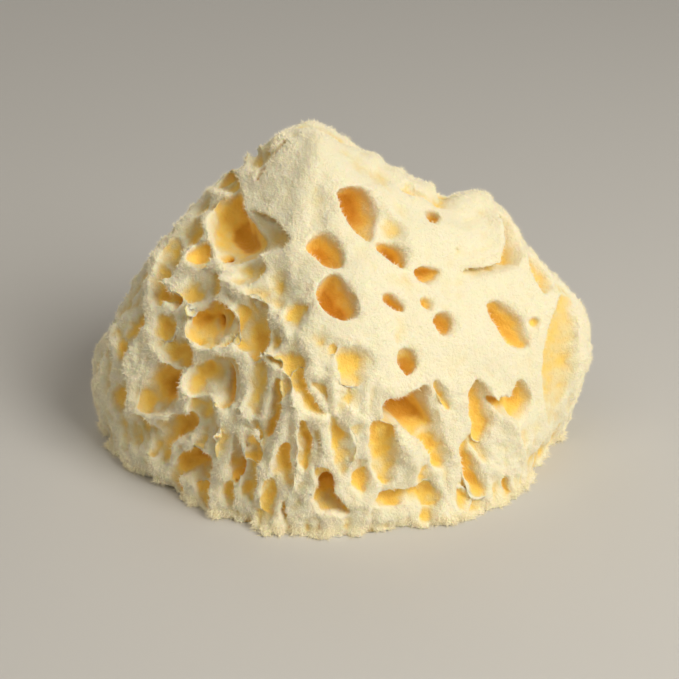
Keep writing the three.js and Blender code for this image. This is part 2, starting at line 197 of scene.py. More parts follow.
# Slits, creases and furrows, each along a line of pixels, with its width and depth in
# millimetres, and a lean like a hole's.
Groove = namedtuple("Groove", "name line wide deep lean")
GROOVES = (
    Groove("crack", ((397, 187), (410, 193), (434, 198)), 1.8, 2.2, (0, 0)),
    Groove("small crack", ((404, 183), (410, 190)), 1.8, 2, (0, 0)),
    Groove("crown groove", ((272, 142), (262, 154), (252, 166)), 3, 2.4, (0.2, 0)),
    Groove("peak slit", ((287, 140), (272, 156), (257, 180)), 1.8, 4, (0.3, 0)),
    Groove("cavity slit", ((252, 211), (270, 222), (289, 238)), 1.8, 6, (0.4, 0.3)),
    Groove("under the shelf", ((461, 271), (490, 270), (515, 265)), 3, 5, (0, 0.8)),
    Groove("left slit", ((164, 290), (171, 300), (169, 312)), 2.5, 5, (0.4, 0)),
    Groove("pit slot", ((216, 320), (217, 340)), 2.6, 16, (-0.45, 0.4)),
    Groove("bowl slot", ((220, 366), (222, 385), (226, 403)), 3.2, 10, (0.1, 0.1)),
    Groove("curled slit", ((237, 436), (238, 456), (233, 483)), 3, 8, (0.2, 0.1)),
    Groove("column crease", ((273, 386), (276, 405), (272, 420), (266, 437)), 3.6, 5, (0, 0)),
    Groove("short crease", ((264, 357), (272, 362), (283, 371)), 1.8, 2.4, (0, 0.2)),
    Groove("middle crease", ((298, 374), (303, 393), (311, 405), (323, 414)), 3.8, 4.5, (-0.2, 0)),
    Groove("fold crease", ((302, 424), (306, 445), (305, 470)), 3.8, 4.2, (-0.2, 0)),
    Groove("lip groove", ((336, 420), (341, 440), (337, 462)), 4.4, 3.6, (-0.2, 0.1)),
    Groove("arch valley", ((430, 414), (437, 440), (444, 468)), 5.5, 4, (-0.4, 0)),
    Groove("thin furrow", ((436, 381), (444, 393), (453, 409)), 2.2, 2.5, (-0.3, 0)),
    Groove("twin arch left", ((480, 386), (479, 405), (482, 434)), 6.5, 5, (-0.3, 0.2)),
    Groove("twin bridge", ((495, 402), (506, 409), (517, 410)), 4.5, 5, (-0.3, 0.3)),
    Groove("twin arch right", ((521, 386), (522, 402), (517, 420)), 5.5, 4.5, (-0.3, 0.2)),
    Groove("low slot", ((467, 448), (473, 466), (483, 490)), 4.4, 4, (-0.3, 0)),
    Groove("flank furrow", ((571, 302), (564, 335), (561, 375), (557, 424)), 9, 3.6, (-0.3, 0)),
    Groove("left fold a", ((200, 486), (204, 498), (206, 506)), 4.2, 2.6, (0, 0)),
    Groove("left fold b", ((248, 468), (250, 484), (246, 500)), 4.6, 3.2, (0, 0)),
    Groove("left fold c", ((150, 430), (156, 440), (154, 452)), 4.4, 2.6, (0, 0)),
    Groove("left fold d", ((256, 424), (252, 440), (254, 462)), 3.6, 3.2, (0.1, 0)),
    Groove("left fold e", ((285, 446), (282, 464), (286, 486)), 4.4, 3.2, (0, 0)),
    Groove("left fold f", ((320, 468), (324, 484), (320, 498)), 4.2, 3, (0, 0)),
    Groove("left fold g", ((176, 470), (172, 482), (176, 492)), 4, 2.4, (0, 0)),
    Groove("left fold h", ((226, 486), (228, 500), (226, 512)), 4, 2.4, (0, 0)),
    Groove("left fold i", ((268, 480), (270, 496), (266, 512)), 4, 2.8, (0, 0)),
    Groove("left fold j", ((120, 420), (124, 438), (122, 452)), 4.4, 2.4, (0, 0)),
    Groove("hem fold a", ((284, 500), (282, 512), (284, 522)), 2, 3, (0, 0.2)),
    Groove("hem fold b", ((460, 488), (464, 498), (462, 506)), 2, 3, (0, 0.2)),
    Groove("hem fold c", ((500, 480), (506, 488), (504, 496)), 2, 3, (0, 0.2)),
)

# Gentle rises and hollows of the mound itself. wide and high are in millimetres, turn is
# in degrees and rise is in millimetres.
Rise = namedtuple("Rise", "name at wide high turn rise")
RISES = (
    Rise("peak bulge", (318, 156), 14, 14, 0, 1.2),
    Rise("lowered tip", (312, 120), 16, 8, 0, -2.6),
    Rise("beside the tip", (344, 128), 10, 8, 0, -3.2),
    Rise("shelf", (445, 238), 24, 15, -10, 1.8),
    Rise("arch brow", (398, 392), 12, 6, 0, 1.2),
    Rise("root ridge", (412, 455), 6, 16, 15, 2.0),
    Rise("flame ridge", (507, 432), 5, 14, 15, 1.6),
    Rise("right rim", (586, 335), 5, 26, 0, 1.0),
    Rise("crown lump", (250, 152), 8, 6, 0, 3.4),
    Rise("shoulder lump", (224, 174), 8, 5, 0, 2.6),
    Rise("low shoulder lump", (209, 193), 6, 5, 0, 1.0),
    Rise("under the crown", (232, 162), 4, 4, 0, -2.6),
    Rise("under the shoulder", (200, 204), 8, 6, 0, -1.6),
    Rise("left edge", (124, 284), 14, 34, 0, -3.4),
    Rise("shelf top", (477, 200), 13, 7, 0, 2.5),
    Rise("shelf corner", (506, 226), 10, 12, 0, 1.6),
    Rise("edge lump", (100, 358), 6, 8, 0, -1.2),
    Rise("lower left edge", (104, 440), 8, 24, 0, -2.0),
    Rise("lower right edge", (566, 430), 8, 30, 0, -2.0),
    Rise("right hem", (552, 468), 14, 12, 40, -3.2),
    Rise("left hem", (150, 492), 26, 8, -30, -3.0),
    Rise("skyline lump a", (372, 156), 5, 4, 0, 1.4),
    Rise("skyline lump b", (398, 170), 5, 4, 0, 1.0),
    Rise("skyline lump c", (428, 186), 6, 4, 0, 1.6),
    Rise("pit ring", (212, 330), 20, 16, 0, 2.2),
    Rise("bowl ring", (214, 386), 20, 14, 0, 1.6),
    Rise("lower ring", (190, 444), 16, 16, 0, 1.6),
    Rise("cup ring", (160, 392), 14, 14, 0, 1.2),
    Rise("beside the pit", (178, 322), 5, 14, 0, -1.6),
    Rise("valley", (280, 300), 10, 22, -8, -3.4),
    Rise("notch", (444, 196), 6, 6, 0, -3.6),
    Rise("crown notch", (296, 132), 3, 4, 0, -1.8),
    Rise("shoulder notch", (236, 164), 3, 4, 0, -1.8),
    Rise("peak hollow", (366, 162), 20, 8, -32, -2.6),
    Rise("peak dent", (384, 178), 5, 4, -20, -1.0),
    Rise("brow hollow", (318, 196), 7, 12, 0, -1.0),
    Rise("soft valley", (402, 326), 4, 10, 0, -1.2),
)

# Thin crests, each a line of pixels, with its half width and its rise in millimetres.
Crest = namedtuple("Crest", "name line half_width rise")
CRESTS = (
    Crest("pit's lower lip", ((190, 338), (203, 348), (218, 350), (233, 342)), 1.2, 1.6),
    Crest("cavity's lower lip", ((214, 270), (235, 256), (249, 251), (262, 256)), 1.2, 1.6),
    Crest("long ridge", ((226, 284), (245, 292), (266, 303), (281, 318), (287, 336)), 1.5, 2.8),
    Crest("bowl's rim", ((161, 356), (185, 374), (188, 392), (214, 398), (226, 412), (224, 432)), 1.2, 1.8),
    Crest("curled lip", ((223, 430), (219, 456), (228, 478)), 1.2, 2.2),
    Crest("hook lip", ((243, 432), (249, 458)), 1.1, 2.0),
    Crest("middle ridge", ((260, 352), (278, 368), (290, 380), (296, 400)), 1.4, 2.2),
    Crest("flame tip", ((491, 399), (506, 420), (525, 459)), 1.3, 2.0),
    Crest("prow edge", ((326, 140), (302, 200), (291, 258), (286, 300)), 3.0, 1.4),
    Crest("cup's left rim", ((140, 372), (138, 396), (150, 414), (172, 414)), 1.3, 1.5),
    Crest("arc crest", ((168, 454), (178, 443), (192, 440), (206, 448)), 1.2, 1.6),
    Crest("fold a", ((298, 402), (302, 440), (292, 482)), 1.6, 2.2),
    Crest("fold b", ((242, 404), (262, 432), (264, 470), (258, 508)), 1.6, 2.2),
    Crest("fold c", ((278, 382), (287, 410), (280, 440), (272, 472)), 1.5, 2.2),
    Crest("fold d", ((322, 416), (324, 450), (313, 492)), 1.6, 2.0),
    Crest("fold e", ((350, 408), (355, 440), (350, 474), (338, 490)), 1.7, 1.8),
    Crest("fold f", ((140, 412), (150, 440), (152, 482)), 1.7, 1.8),
    Crest("fold g", ((190, 402), (198, 432)), 1.7, 1.6),
    Crest("fold h", ((128, 352), (134, 380), (128, 412)), 1.7, 1.8),
    Crest("fold i", ((214, 470), (212, 500)), 1.6, 1.6),
    Crest("fold j", ((236, 486), (234, 510)), 1.6, 1.6),
    Crest("side ridge", ((176, 240), (168, 270), (172, 296)), 1.6, 1.8),
    Crest("far ridge", ((142, 300), (138, 330), (150, 352)), 1.6, 1.6),
    Crest("shelf rim", ((459, 266), (492, 256), (496, 240), (490, 220)), 1.3, 1.4),
)

# The smooth faces of the picture, where the honeycomb is faint: their middles and how far
# they reach, in pixels.
CALM_FACES = (((440, 290), 125), ((325, 205), 100), ((545, 365), 80))
CALM_SHARE = 0.92
# How sharply such a face ends.
CALM_EDGE = 6

# The hidden sides are pitted by rule. Level rings of pores go up them, from one
# elevation to another, at one spacing and from one azimuth on, all in degrees.
HIDDEN_RINGS = (-18, 80)
HIDDEN_SPACING = 23
HIDDEN_FROM = 96
# How far a hidden pore strays along its ring, as a share of the spacing, and up or
# down from it, in degrees, and how far its place must turn away from the camera.
HIDDEN_STRAY = 0.6
HIDDEN_DRIFT = 8
HIDDEN_TURN = 0.08
# The limits of its mouth and depth in millimetres, and the least height of its middle.
HIDDEN_WIDTH = (8, 13.5)
HIDDEN_DEPTH = (7, 14)
HIDDEN_LOWEST = 11 * MM
FIRST_SEED = 20
# Smaller cups are strewn between them.
STREWN = 420
STREWN_WIDTH = (5, 13)
STREWN_DEPTH = (2.5, 7)
STREWN_SEED = 77

MOUND_ROUNDS = 8
# Too short to matter.
TINY = 1e-6
# The segments round the balls that holes and grooves are cut with.
WIDE_BALL = 56
SMALL_BALL = 20
# The steps of a curve between two of its points, and the pixels between the small
# ellipsoids that a groove is made of, with their size at its ends as a share.
CURVE_STEPS = 5
GROOVE_STEP = 2.5
GROOVE_END = 0.55
# The shallow dish past the right lip of a hole, in millimetres, and its flare.
FADE_DEPTH = 1.4
FADE_FLARE = 0.7
# How far a hidden pore's wall swells in and out, and the size of those swellings.
PORE_SWELL = 0.35
PORE_LUMP = 5 * MM

# Slopes and lines of sight are followed in steps of this size, and a line of sight
# meets the mound between these distances before and beyond the camera's distance.
STEP = 0.5 * MM
SIGHT_BEFORE = 0.120
SIGHT_BEYOND = 0.060
# The least share of facing the camera that a mouth is laid out for, and the shares
# between which the drawn rises grow to their full height.
LEAST_FACING = 0.4
RISE_FROM = -0.25
RISE_FULL = 0.05

# Lumps of noise, each with their size and their share of the height that they add to.
Lumps = namedtuple("Lumps", "size share")
BROAD_LUMPS = (Lumps(22 * MM, 1.0), Lumps(10 * MM, 0.6))
GRAIN_LUMPS = (Lumps(2.2 * MM, 1.0), Lumps(1.1 * MM, 0.6))
HEM_LUMPS = (Lumps(1.8 * MM, 1.0), Lumps(5 * MM, 1.0))
# The outlines wander over a long and a short distance. The short one is weaker on the
# calm faces, where it has this share, and grows by the other with the honeycomb.
LONG_WANDER = 9 * MM
SHORT_WANDER = 3.5 * MM
CALM_WANDER = 0.2
CELL_WANDER = 0.4
# The honeycomb's cells are bent by noise of this size and strength, and their depth
# is uneven: a mean share, a change to both sides of it, and the size of the changes.
CELL_BEND = Lumps(5 * MM, 1.5 * MM)
CELL_MEAN = 0.6
CELL_CHANGE = Lumps(14 * MM, 0.5)
# The width of the rims between the cells, as a share of a cell.
CELL_RIM = 0.75
# The cells fade where the surface turns to the hidden sides, and deep in the holes.
HIDDEN_FADE = 10 * MM
DEEP_FADE = 5 * MM
# The share over 1 keeps them at full strength near the surface.
SHALLOW_START = 1.2
# The heights over the floor that the surface is held still up to, and the ragged hem
# reaches, and how much the hem's streaks are stretched upright.
FOOT = 3 * MM
HEM = 6 * MM
HEM_STRETCH = 0.3

# Rounds of smoothing: for all cut edges, for the soft ones, and for the even surface
# that a crest is measured from.
CRISP_ROUNDS = 2
SOFT_ROUNDS = 4
EVEN_ROUNDS = 60
# The depth and the height of a crest that the colours, with their painted shade and highlight, reach their
# ends at.
DEPTH_RANGE = 14 * MM
CREST_RANGE = 1.6 * MM

# The seeds of the different noises and fibres, and the numbers that make random runs
# and scatter whole numbers.
SEEDS = {
    "broad": 1, "long": 10, "short": 20, "bend": 30, "cells": 40, "grain": 50, "hem": 70,
    "change": 90, "fuzz": 0, "tufts": 50,
}
RUN_FACTOR = 16807
RUN_LIMIT = 2147483647
HASH_STEPS = np.array((73856093, 19349663, 83492791))
HASH_SEED = 7919
HASH_TURN = 1274126177
HASH_SHIFTS = (13, 16)
HASH_MASK = 0xFFFFFFFF

# The fibres come in a few pieces, whose seeds are this far apart.
FUZZ_PIECES = 3
SEED_STEP = 10
# How far they lean at most, and the least of their random sizes as a share.
FIBRE_STRAY = 0.9
FIBRE_LEAST = 0.35
# Their number grows with a crest's measure and falls from a start as the depth grows,
# and their length is a base share plus the crest's measure.
FIBRE_CREST = 1.5
FIBRE_OPEN = 1.15
FIBRE_DEPTH = 4.0
FIBRE_BASE = 0.4
# The heights that they grow between. The upper one is over every part of the sponge.
FIBRE_FOOT = 0.2 * MM
ALL_HEIGHTS = 1.0
# How much closer and thicker the tufts at the hem are than the fuzz.
TUFT_CROWDING = 2.4
TUFT_WIDTH = 1.5

# The material's noises, in waves to the metre, and how far each shifts the colour.
MOTTLE_SCALE = 120
MOTTLE_SHARE = 0.2
FLEECE_SCALE = 1100
FLEECE_SHARE = 0.1
LINT_SCALE = 2600
LINT_SHARE = 0.5
# Painted highlight and shade: how much paler what stands out is and how much darker what lies in a hollow,
# and where on the ramp each colour lies.
CREST_HIGHLIGHT_AND_SHADE = 0.88
FLESH_AT = 0.18
TAN_AT = 0.38
AMBER_AT = 0.64
# Where on the ramp the painted light that the pores give off, standing in for the light that shines through
# their walls, sets in and ends, and how steeply.
GLOW_FROM = 0.42
GLOW_RISE = 2.4
GLOW_END = 1.33
GLOW_FALL = 1.2
# The finish: how rough it is, how much light goes through it, in which colour and how
# far, how it shines, and how strong and deep its unmodelled fleece is.
SPONGE_ROUGHNESS = 0.85
SOFT_LIGHT = 0.45
SOFT_LIGHT_COLOUR = (1.0, 0.6, 0.25)
SOFT_LIGHT_REACH = 1.2 * MM
SHINE = 0.2
SHEEN = 0.2
BUMP_STRENGTH = 0.9
BUMP_DEPTH = 0.5 * MM
# The loose fibres' finish, with a painted emission that stands in for the light that they pass on, and the
# floor's.
FIBRE_ROUGHNESS = 0.9
FIBRE_PAINTED_GLOW = 0.06
FLOOR_ROUGHNESS = 0.8

# The lights, as seen from the heart: side and distance in metres, azimuth and
# elevation in degrees.
Lamp = namedtuple("Lamp", "name size azimuth elevation distance colour")
LAMPS = (
    Lamp("key", 0.55, 49, 41, 1.0, (1.0, 0.96, 0.88)),
    Lamp("fill", 0.6, -44, 64, 1.1, (1.0, 0.91, 0.77)),
    Lamp("back", 0.8, 200, 42, 1.2, (1.0, 0.97, 0.92)),
)
WORLD_COLOUR = (1.0, 0.93, 0.82, 1)
WORLD_STRENGTH = 0.11
# Half the floor's side, and the nearest that the camera sees, in metres.
FLOOR_SIZE = 4
NEAR_CLIP = 0.01


class SpongeShape(bpy.types.PropertyGroup):
    """Sizes of the body's surface."""

    voxel: FloatProperty(
        name="Voxel", description="Cell size that the carved body is rebuilt at",
        default=0.6 * MM, min=0.3 * MM, precision=5, unit="LENGTH",
    )
    undulation: FloatProperty(
        name="Undulation", description="Height of the broad unevenness of the mound",
        default=1.0 * MM, precision=5, unit="LENGTH",
    )
    wander: FloatProperty(
        name="Wander", description="How far the pores' edges wander from smooth outlines",
        default=0.9 * MM, precision=5, unit="LENGTH",
    )
    cell: FloatProperty(
        name="Cell", description="Width of the small shallow cells all over the surface",
        default=8.5 * MM, precision=5, unit="LENGTH",
    )
    cell_depth: FloatProperty(
        name="Cell depth", description="Depth of the small shallow cells",
        default=3.4 * MM, precision=5, unit="LENGTH",
    )
    cell_stretch: FloatProperty(
        name="Cell stretch", description="Width of the small cells as a share of their height",
        default=0.45,
    )
    grain: FloatProperty(
        name="Grain", description="Height of the small lumps on every surface",
        default=0.4 * MM, precision=5, unit="LENGTH",
    )
    ragged: FloatProperty(
        name="Ragged hem", description="How far the hem's edge goes in and out",
        default=1.8 * MM, precision=5, unit="LENGTH",
    )
    triangles: IntProperty(
        name="Triangles", description="Most triangles that the body may have", default=190000,
    )


class SpongeFibres(bpy.types.PropertyGroup):
    """Sizes of the fibres that stand on the surface."""

    length: FloatProperty(
        name="Length", description="Length of a usual fibre", default=1.0 * MM, precision=5, unit="LENGTH",
    )
    thickness: FloatProperty(
        name="Thickness", description="Width of a fibre at its root", default=0.13 * MM, precision=5,
        unit="LENGTH",
    )
    spacing: FloatProperty(
        name="Spacing", description="Usual distance between the fibres of one piece",
        default=0.84 * MM, precision=5, unit="LENGTH",
    )
    tuft_length: FloatProperty(
        name="Tuft length", description="Length of the tufts along the hem", default=1.6 * MM,
        precision=5, unit="LENGTH",
    )
    tuft_height: FloatProperty(
        name="Tuft height", description="How far up from the floor the tufts grow", default=3 * MM,
        precision=5, unit="LENGTH",
    )


class SpongeColours(bpy.types.PropertyGroup):
    """Colours of the sponge, from its crests to the bottom of its pores: a painted highlight, its own
    colour, painted shade deeper in, and painted light given off in the pores.
    """

    # Painted highlight: the crests' paler colour stands in for the light that catches them.
    crest: FloatVectorProperty(
        name="Crest", description="Bleached crests", subtype="COLOR", size=4, default=(0.97, 0.89, 0.66, 1),
    )
    fibre: FloatVectorProperty(
        name="Fibre", description="Loose fibres", subtype="COLOR", size=4, default=(1.0, 0.92, 0.68, 1),
    )
    flesh: FloatVectorProperty(
        name="Flesh", description="Open surface", subtype="COLOR", size=4, default=(0.95, 0.84, 0.55, 1),
    )
    # Painted shade: the shallow cups are darker than the open surface.
    tan: FloatVectorProperty(
        name="Tan", description="Shallow cups", subtype="COLOR", size=4, default=(0.92, 0.73, 0.35, 1),
    )
    # Painted shade and through-light: the walls of the pores are amber for the shade in them and the light
    # that comes through the skeleton.
    amber: FloatVectorProperty(
        name="Amber", description="Walls of the pores", subtype="COLOR", size=4,
        default=(0.94, 0.66, 0.15, 1),
    )
    # Painted shade: the bottoms of the deepest pores are darkest.
    pore_bottom_shade: FloatVectorProperty(
        name="Brown", description="Bottoms of the deepest pores", subtype="COLOR", size=4,
        default=(0.70, 0.35, 0.04, 1),
    )
    # Painted light: an emission that stands in for light coming through the skeleton into the pores.
    painted_glow: FloatVectorProperty(
        name="Glow", description="Light that comes through the skeleton into the pores", subtype="COLOR",
        size=4, default=(0.14, 0.065, 0.004, 1),
    )


class SpongeStage(bpy.types.PropertyGroup):
    """Floor and lights."""

    floor: FloatVectorProperty(
        name="Floor", description="Colour of the floor", subtype="COLOR", size=4,
        default=(0.62, 0.61, 0.59, 1),
    )
    key_power: FloatProperty(
        name="Key light", description="Power of the main light", default=8.6, unit="POWER",
    )
    fill_power: FloatProperty(
        name="Fill light", description="Power of the light on the shaded side", default=1.7, unit="POWER",
    )
    back_power: FloatProperty(
        name="Back light", description="Power of the light on the far side", default=1.6, unit="POWER",
    )


def direction(azimuth, elevation):
    """The unit vector at an azimuth and elevation in degrees."""
    a = math.radians(azimuth)
    e = math.radians(elevation)
    return np.array((math.sin(a) * math.cos(e), -math.cos(a) * math.cos(e), math.sin(e)))


def unit(vectors):
    return vectors / np.linalg.norm(vectors, axis=-1, keepdims=True)


def mound_radius(towards):
    """How far the mound's surface is from the heart, for an array of unit vectors."""
    total = 0
    for side in SIDES:
        facing = towards @ direction(side.azimuth, side.elevation)
        total = total + np.maximum(0, facing / side.reach) ** SQUARENESS
    radius = total ** (-1 / SQUARENESS)
    for swelling in SWELLINGS:
        cosine = np.clip(towards @ direction(swelling.azimuth, swelling.elevation), -1, 1)
        share = np.degrees(np.arccos(cosine)) / swelling.spread
        radius = radius + swelling.height * np.exp(-(share**2))
    return radius


def depth_of(points):
    """How deep points lie below the mound's surface, negative above it."""
    arms = points - HEART
    return mound_radius(unit(arms)) - np.linalg.norm(arms, axis=-1)


def surface_normal(point):
    """The mound's outward normal at a point."""
    steps = np.eye(3) * STEP
    return unit(depth_of(point - steps) - depth_of(point + steps))


def ray_through(pixel):
    """The unit vector from the camera through a pixel."""
    across = pixel[0] - PICTURE_SIDE / 2
    up = PICTURE_SIDE / 2 - pixel[1]
    return unit(FORWARD * FOCAL + RIGHTWARD * across + UPWARD * up)


def pixels_of(points):
    """Where the camera sees an array of points, as columns and rows of pixels."""
    arms = points - EYE
    scale = FOCAL / (arms @ FORWARD)
    columns = PICTURE_SIDE / 2 + scale * (arms @ RIGHTWARD)
    rows = PICTURE_SIDE / 2 - scale * (arms @ UPWARD)
    return np.stack((columns, rows), axis=-1)


def point_seen_at(pixel):
    """The point of the mound that the camera sees at a pixel."""
    ray = ray_through(pixel)
    reaches = np.arange(CAMERA_DISTANCE - SIGHT_BEFORE, CAMERA_DISTANCE + SIGHT_BEYOND, STEP)
    points = EYE + ray * reaches[:, None]
    inside = depth_of(points) > 0
    if not inside.any():
        raise ValueError(f"no part of the mound is seen at {pixel}")
    return points[inside.argmax()]


def random_run(seed):
    """A repeatable run of random numbers between 0 and 1."""
    state = seed
    while True:
        state = (state * RUN_FACTOR) % RUN_LIMIT
        yield state / RUN_LIMIT


def laid_on_surface(seen, normal, ray):
    """What the camera sees as the given vectors, laid on the surface along its line of sight."""
    facing = min(-LEAST_FACING, ray @ normal)
    return seen - np.outer(seen @ normal, ray) / facing


def as_seen(offsets):
    """Offsets in pixels, across and down, as vectors square to the camera's view."""
    return (np.outer(offsets[:, 0], RIGHTWARD) - np.outer(offsets[:, 1], UPWARD)) / PIXELS_PER_METRE


def leaning_in(normal, lean):
    """The way into a hole that leans to the right and up by shares of its depth."""
    return RIGHTWARD * lean[0] + UPWARD * lean[1] - normal


def ball_mesh(segments):
    """A ball of one unit's radius with level rings of points, which every cut starts from."""
    bm = bmesh.new()
    bmesh.ops.create_uvsphere(bm, u_segments=segments, v_segments=segments // 2, radius=1)
    mesh = bpy.data.meshes.new("ball")
    bm.to_mesh(mesh)
    bm.free()
    return mesh


def add_shape(bm, ball, points):
    """A copy of the ball, with its points moved, as part of a bmesh."""
    shape = ball.copy()
    set_points(shape, points)
    bm.from_mesh(shape)
    bpy.data.meshes.remove(shape)


def curve_through(line):
    """A closed smooth curve through a few points, with steps between each two of them."""
    before = np.roll(line, 1, axis=0)
    after = np.roll(line, -1, axis=0)
    beyond = np.roll(line, -2, axis=0)
    stretches = []
    for share in np.arange(CURVE_STEPS) / CURVE_STEPS:
        bend = 2 * before - 5 * line + 4 * after - beyond
        twist = 3 * line - before - 3 * after + beyond
        stretches.append(line + ((after - before) * share + bend * share**2 + twist * share**3) / 2)
    return np.stack(stretches, axis=1).reshape(-1, 2)


def crossing(first, second):
    """How far each pair of flat vectors turns, as the area that they span."""
    return first[:, 0] * second[:, 1] - first[:, 1] * second[:, 0]


def reach_of(offsets, ways):
    """How far an outline goes from its middle in each of an array of flat directions."""
    angles = np.arctan2(offsets[:, 1], offsets[:, 0])
    order = np.argsort(angles)
    after = np.searchsorted(angles[order], np.arctan2(ways[:, 1], ways[:, 0])) % len(order)
    start = offsets[order][after - 1]
    end = offsets[order][after]
    return crossing(start, end) / crossing(ways, end - start)


def dish(points, hole, shift, deep, flare):
    """A ball's points, moved to give the hole's outline at the mouth and a rounded bottom."""
    line = np.array(hole.line, float)
    middle = line.mean(axis=0)
    share = np.linalg.norm(points[:, :2], axis=1)[:, None]
    ways = np.where(share > TINY, points[:, :2] / np.maximum(share, TINY), (1, 0))
    reach = reach_of(curve_through(line) - middle, ways)[:, None] * share / math.sqrt(1 - flare**2)
    mouth = point_seen_at(middle)
    normal = surface_normal(mouth)
    across = laid_on_surface(as_seen(ways * reach + (shift, 0)), normal, ray_through(middle))
    down = deep * MM * (points[:, 2] - flare) / (1 - flare)
    return mouth + across + np.outer(down, leaning_in(normal, hole.lean))


def stops_along(line):
    """Points a few pixels apart along a line of straight stretches."""
    for start, end in zip(line, line[1:]):
        start = np.array(start, float)
        stretch = np.array(end, float) - start
        for share in np.arange(0, 1, GROOVE_STEP / np.linalg.norm(stretch)):
            yield start + stretch * share


def groove_stretches(points, groove):
    """A ball's points as a row of small ellipsoids that narrow towards both ends."""
    stops = list(stops_along(groove.line))
    for i, pixel in enumerate(stops):
        taper = GROOVE_END + (1 - GROOVE_END) * math.sin(math.pi * (i + 0.5) / len(stops))
        mouth = point_seen_at(pixel)
        normal = surface_normal(mouth)
        offsets = points[:, :2] * groove.wide / 2 * MM * taper * PIXELS_PER_METRE
        across = laid_on_surface(as_seen(offsets), normal, ray_through(pixel))
        down = groove.deep * MM * taper * points[:, 2]
        yield mouth + across + np.outer(down, leaning_in(normal, groove.lean))


Pore = namedtuple("Pore", "middle across along inward")


def pore_on(towards, wide, high, deep, spin=0.0):
    """An oval pore straight into the mound in one direction, or None near the foot."""
    middle = HEART + towards * mound_radius(towards[None])[0]
    if middle[2] < HIDDEN_LOWEST:
        return None
    normal = surface_normal(middle)
    level = unit(np.cross((0, 0, 1), normal))
    rise = np.cross(normal, level)
    across = level * math.cos(spin) + rise * math.sin(spin)
    along = rise * math.cos(spin) - level * math.sin(spin)
    return Pore(middle, across * wide / 2 * MM, along * high / 2 * MM, normal * -deep * MM)


def rough_ellipsoid(points, pore):
    """A ball's points as a rough ellipsoid with the pore's half axes."""
    points = points @ np.array((pore.across, pore.along, pore.inward))
    swell = 1 + PORE_SWELL * smooth_noise(pore.middle + points, PORE_LUMP)
    return pore.middle + points * swell[:, None]


def between(run, limits):
    """The next random number of a run, between two limits."""
    return limits[0] + (limits[1] - limits[0]) * next(run)


def is_hidden(towards):
    """True where the mound's surface turns away from the camera."""
    point = HEART + towards * mound_radius(towards[None])[0]
    return surface_normal(point) @ unit(point - EYE) > HIDDEN_TURN


def hidden_pores():
    """The wide pores of the hidden sides, in level rings."""
    run = random_run(FIRST_SEED)
    stretch = 360 - 2 * HIDDEN_FROM
    for elevation in range(*HIDDEN_RINGS, HIDDEN_SPACING):
        count = max(1, math.floor(stretch / HIDDEN_SPACING * math.cos(math.radians(elevation)) + 0.5))
        for i in range(count):
            azimuth = HIDDEN_FROM + stretch * (i + 0.5 + HIDDEN_STRAY * (next(run) - 0.5)) / count
            towards = direction(azimuth, elevation + HIDDEN_DRIFT * (next(run) - 0.5))
            wide = between(run, HIDDEN_WIDTH)
            high = between(run, HIDDEN_WIDTH)
            deep = between(run, HIDDEN_DEPTH)
            if is_hidden(towards):
                yield pore_on(towards, wide, high, deep)


def strewn_pores():
    """Small cups at golden-angle spacing over the sides that the picture doesn't show."""
    run = random_run(STREWN_SEED)
    golden = math.pi * (3 - math.sqrt(5))
    for i in range(STREWN):
        height = 1 - 2 * (i + 0.5) / STREWN
        ring = math.sqrt(1 - height**2)
        towards = np.array((ring * math.cos(i * golden), ring * math.sin(i * golden), height))
        wide = between(run, STREWN_WIDTH)
        high = between(run, STREWN_WIDTH)
        deep = between(run, STREWN_DEPTH)
        spin = math.pi * next(run)
        if is_hidden(towards):
            yield pore_on(towards, wide, high, deep, spin)


def new_object(name, mesh):
    piece = bpy.data.objects.new(name, mesh)
    bpy.context.scene.collection.objects.link(piece)
    return piece


def object_from(name, bm):
    """A new object from a bmesh, with its normals made to face outwards."""
    bmesh.ops.recalc_face_normals(bm, faces=bm.faces)
    mesh = bpy.data.meshes.new(name)
    bm.to_mesh(mesh)
    bm.free()
    return new_object(name, mesh)


def points_of(mesh):
    flat = np.empty(len(mesh.vertices) * 3, np.float32)
    mesh.vertices.foreach_get("co", flat)
    return flat.reshape(-1, 3).astype(float)


def set_points(mesh, points):
    mesh.vertices.foreach_set("co", points.astype(np.float32).ravel())
    mesh.update()


def normals_of(mesh):
    flat = np.empty(len(mesh.vertices) * 3, np.float32)
    mesh.vertex_normals.foreach_get("vector", flat)
    return flat.reshape(-1, 3).astype(float)


def keep_above(mesh, lowest):
    """Lifts the points of a mesh that lie under a height."""
    points = points_of(mesh)
    points[:, 2] = np.maximum(points[:, 2], lowest)
    set_points(mesh, points)


def settle(piece):
    """Makes a piece's modifiers part of its mesh."""
    graph = bpy.context.evaluated_depsgraph_get()
    settled = bpy.data.meshes.new_from_object(piece.evaluated_get(graph))
    piece.modifiers.clear()
    worn = piece.data
    piece.data = settled
    bpy.data.meshes.remove(worn)


def rebuild(piece, voxel):
    """Makes one even skin of a piece's overlapping closed shapes."""
    remesh = piece.modifiers.new("Remesh", "REMESH")
    remesh.mode = "VOXEL"
    remesh.voxel_size = voxel
    settle(piece)


def carve(piece, cutter, voxel):
    """Takes a set of closed shapes away from a piece."""
    rebuild(cutter, voxel)
    cut = piece.modifiers.new("Carve", "BOOLEAN")
    cut.operation = "DIFFERENCE"
    cut.solver = "MANIFOLD"
    cut.object = cutter
    settle(piece)
    bpy.data.objects.remove(cutter)


